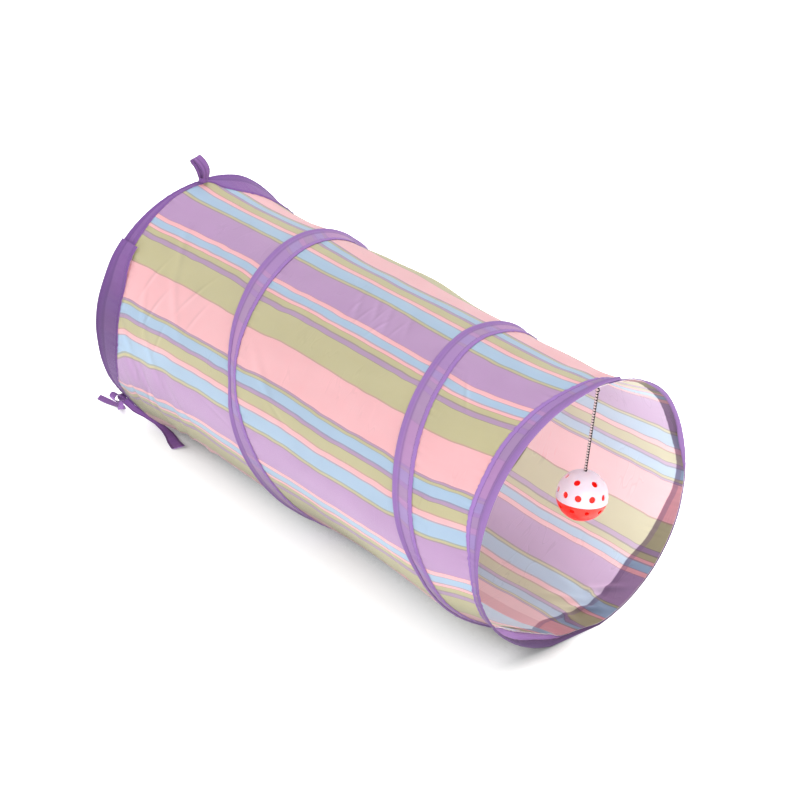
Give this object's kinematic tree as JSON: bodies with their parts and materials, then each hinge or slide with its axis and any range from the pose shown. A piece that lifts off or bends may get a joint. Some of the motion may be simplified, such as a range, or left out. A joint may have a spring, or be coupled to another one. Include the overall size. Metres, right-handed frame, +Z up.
{
  "type": "cat tunnel",
  "caption": "Pop-up cat tunnel: a striped cloth tube held open by a spiral wire under sewn-on strips, with a hanging loop, a tied ribbon and a perforated toy ball on a cord in its mouth.",
  "frame": {"origin": "middle of the bounding box, at floor level", "axes": "+X along the tunnel towards the mouth with the ball, +Z up"},
  "size_m": [0.5854, 0.2732, 0.2745],
  "materials": {
    "striped_cloth": "thin woven polyester in lilac, olive, pink and pale blue stripes",
    "strip_cloth": "thin purple polyester strip",
    "ribbon": "folded purple polyester ribbon",
    "cord": "braided black and white elastic",
    "white_shell": "smooth translucent white",
    "red_shell": "smooth orange red"
  },
  "bodies": {
    "tunnel": {"striped_tube": "striped_cloth", "mouth_strip": "strip_cloth", "spiral_strip": "strip_cloth", "rear_strip": "strip_cloth", "hang_loop": "ribbon", "tie_knot": "ribbon", "tie_bow": "ribbon", "tie_end": "ribbon", "tie_tail": "ribbon"},
    "knot": {"cord_knot": "cord"},
    "ball": {"ball_cord": "cord", "ball_upper": "white_shell", "ball_lower": "red_shell"}
  },
  "joints": [
    {"name": "ball_across", "type": "hinge", "parent": "tunnel", "child": "knot", "pos_m": [0.26968, 0.00846, 0.24119], "axis": [1, 0, 0], "range_deg": [-40, 40]},
    {"name": "ball_along", "type": "hinge", "parent": "knot", "child": "ball", "pos_m": [0.26968, 0.00846, 0.24119], "axis": [0, 1, 0], "range_deg": [-40, 40]}
  ]
}
